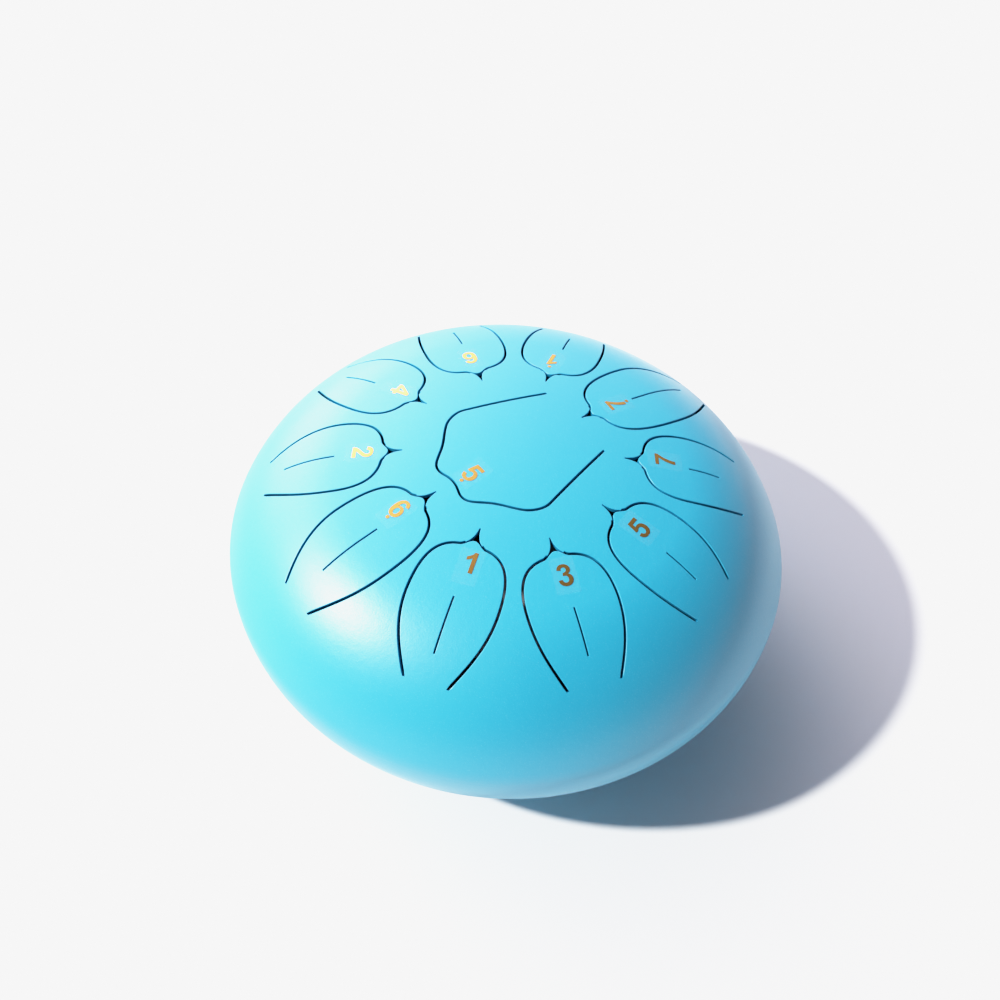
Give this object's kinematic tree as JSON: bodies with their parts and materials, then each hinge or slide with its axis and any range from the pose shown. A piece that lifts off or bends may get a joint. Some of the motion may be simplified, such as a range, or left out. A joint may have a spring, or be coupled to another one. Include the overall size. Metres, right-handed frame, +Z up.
{
  "type": "steel tongue drum",
  "caption": "Round steel tongue drum: a welded pair of domed shells with a lotus ring of slotted tongues, numbered note labels, a lotus-shaped sound hole and rubber feet.",
  "frame": {"origin": "on the floor plane, under the middle of the drum", "axes": "+Z up through the crown; note 1's tongue points to -Y"},
  "size_m": [0.254, 0.254, 0.1225],
  "materials": {
    "shell_coat": "satin powder coat, fine orange peel",
    "tongue_coat": "satin powder coat, fine orange peel",
    "label_film": "clear glossy film with a gold foil numeral",
    "foot_rubber": "matte black rubber"
  },
  "bodies": {
    "drum_body": {"top_shell": "shell_coat", "bottom_shell": "shell_coat", "seam_weld": "shell_coat", "foot_1": "foot_rubber", "foot_2": "foot_rubber", "foot_3": "foot_rubber"},
    "tongue_low_5": {"tongue_low_5": "tongue_coat", "label_low_5": "label_film"},
    "tongue_1": {"tongue_1": "tongue_coat", "label_1": "label_film"},
    "tongue_3": {"tongue_3": "tongue_coat", "label_3": "label_film"},
    "tongue_5": {"tongue_5": "tongue_coat", "label_5": "label_film"},
    "tongue_7": {"tongue_7": "tongue_coat", "label_7": "label_film"},
    "tongue_low_7": {"tongue_low_7": "tongue_coat", "label_low_7": "label_film"},
    "tongue_high_1": {"tongue_high_1": "tongue_coat", "label_high_1": "label_film"},
    "tongue_6": {"tongue_6": "tongue_coat", "label_6": "label_film"},
    "tongue_4": {"tongue_4": "tongue_coat", "label_4": "label_film"},
    "tongue_2": {"tongue_2": "tongue_coat", "label_2": "label_film"},
    "tongue_low_6": {"tongue_low_6": "tongue_coat", "label_low_6": "label_film"}
  },
  "joints": [
    {"name": "bend_low_5", "type": "hinge", "parent": "drum_body", "child": "tongue_low_5", "pos_m": [0.01951, 0.02685, 0.11978], "axis": [-0.809, 0.5878, 0], "range_deg": [-0.5, 0.5], "stiffness_Nm_per_rad": 150},
    {"name": "bend_1", "type": "hinge", "parent": "drum_body", "child": "tongue_1", "pos_m": [0, -0.10598, 0.0972], "axis": [1, 0, 0], "range_deg": [-0.5, 0.5], "stiffness_Nm_per_rad": 150},
    {"name": "bend_3", "type": "hinge", "parent": "drum_body", "child": "tongue_3", "pos_m": [0.06171, -0.08493, 0.09804], "axis": [0.809, 0.5878, 0], "range_deg": [-0.5, 0.5], "stiffness_Nm_per_rad": 150},
    {"name": "bend_5", "type": "hinge", "parent": "drum_body", "child": "tongue_5", "pos_m": [0.09699, -0.03152, 0.10039], "axis": [0.309, 0.9511, 0], "range_deg": [-0.5, 0.5], "stiffness_Nm_per_rad": 150},
    {"name": "bend_7", "type": "hinge", "parent": "drum_body", "child": "tongue_7", "pos_m": [0.09604, 0.03121, 0.10112], "axis": [-0.309, 0.9511, 0], "range_deg": [-0.5, 0.5], "stiffness_Nm_per_rad": 150},
    {"name": "bend_low_7", "type": "hinge", "parent": "drum_body", "child": "tongue_low_7", "pos_m": [0.06406, 0.08817, 0.09446], "axis": [-0.809, 0.5878, 0], "range_deg": [-0.5, 0.5], "stiffness_Nm_per_rad": 150},
    {"name": "bend_high_1", "type": "hinge", "parent": "drum_body", "child": "tongue_high_1", "pos_m": [0, 0.09849, 0.10283], "axis": [-1, 0, 0], "range_deg": [-0.5, 0.5], "stiffness_Nm_per_rad": 150},
    {"name": "bend_6", "type": "hinge", "parent": "drum_body", "child": "tongue_6", "pos_m": [-0.05877, 0.08089, 0.10182], "axis": [-0.809, -0.5878, 0], "range_deg": [-0.5, 0.5], "stiffness_Nm_per_rad": 150},
    {"name": "bend_4", "type": "hinge", "parent": "drum_body", "child": "tongue_4", "pos_m": [-0.10032, 0.0326, 0.09762], "axis": [-0.309, -0.9511, 0], "range_deg": [-0.5, 0.5], "stiffness_Nm_per_rad": 150},
    {"name": "bend_2", "type": "hinge", "parent": "drum_body", "child": "tongue_2", "pos_m": [-0.10251, -0.03331, 0.0956], "axis": [0.309, -0.9511, 0], "range_deg": [-0.5, 0.5], "stiffness_Nm_per_rad": 150},
    {"name": "bend_low_6", "type": "hinge", "parent": "drum_body", "child": "tongue_low_6", "pos_m": [-0.06312, -0.08688, 0.09596], "axis": [0.809, -0.5878, 0], "range_deg": [-0.5, 0.5], "stiffness_Nm_per_rad": 150}
  ]
}
